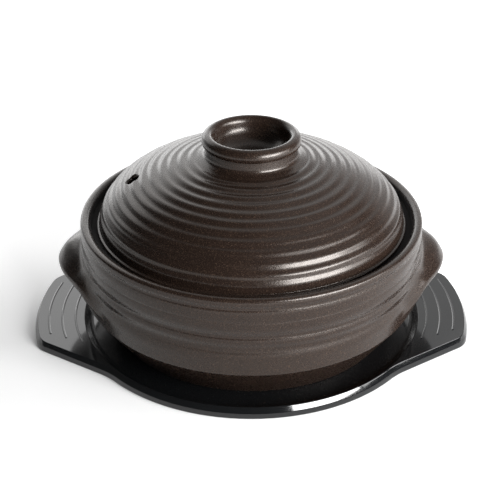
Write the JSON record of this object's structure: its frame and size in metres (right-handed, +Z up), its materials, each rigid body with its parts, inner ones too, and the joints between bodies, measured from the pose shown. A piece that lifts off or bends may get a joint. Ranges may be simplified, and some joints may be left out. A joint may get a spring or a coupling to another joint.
{
  "type": "lidded clay casserole pot",
  "caption": "Round glazed stoneware casserole pot with side lugs, a domed lid with a ring knob and a steam vent, resting on a moulded winged tray.",
  "frame": {"origin": "on the pot's axis at the table, under the middle of the tray", "axes": "+Z up along the pot's axis, +X towards the right lug and the right wing, -Y towards the viewer"},
  "size_m": [0.263, 0.209, 0.1223],
  "materials": {
    "tray": "polished black melamine",
    "pot_glaze": "satin brown glaze with a fine speckle",
    "lid_glaze": "satin brown glaze with a fine speckle"
  },
  "bodies": {
    "tray": {"tray": "tray"},
    "pot": {"pot_body": "pot_glaze", "pot_handle_left": "pot_glaze", "pot_handle_right": "pot_glaze"},
    "lid": {"lid_dome": "lid_glaze", "lid_knob": "lid_glaze"}
  },
  "joints": [
    {"name": "pot_lift", "type": "slide", "parent": "tray", "child": "pot", "axis": [0, 0, 1], "range_m": [0, 0.1]},
    {"name": "lid_lift", "type": "slide", "parent": "pot", "child": "lid", "axis": [0, 0, 1], "range_m": [0, 0.12]}
  ]
}
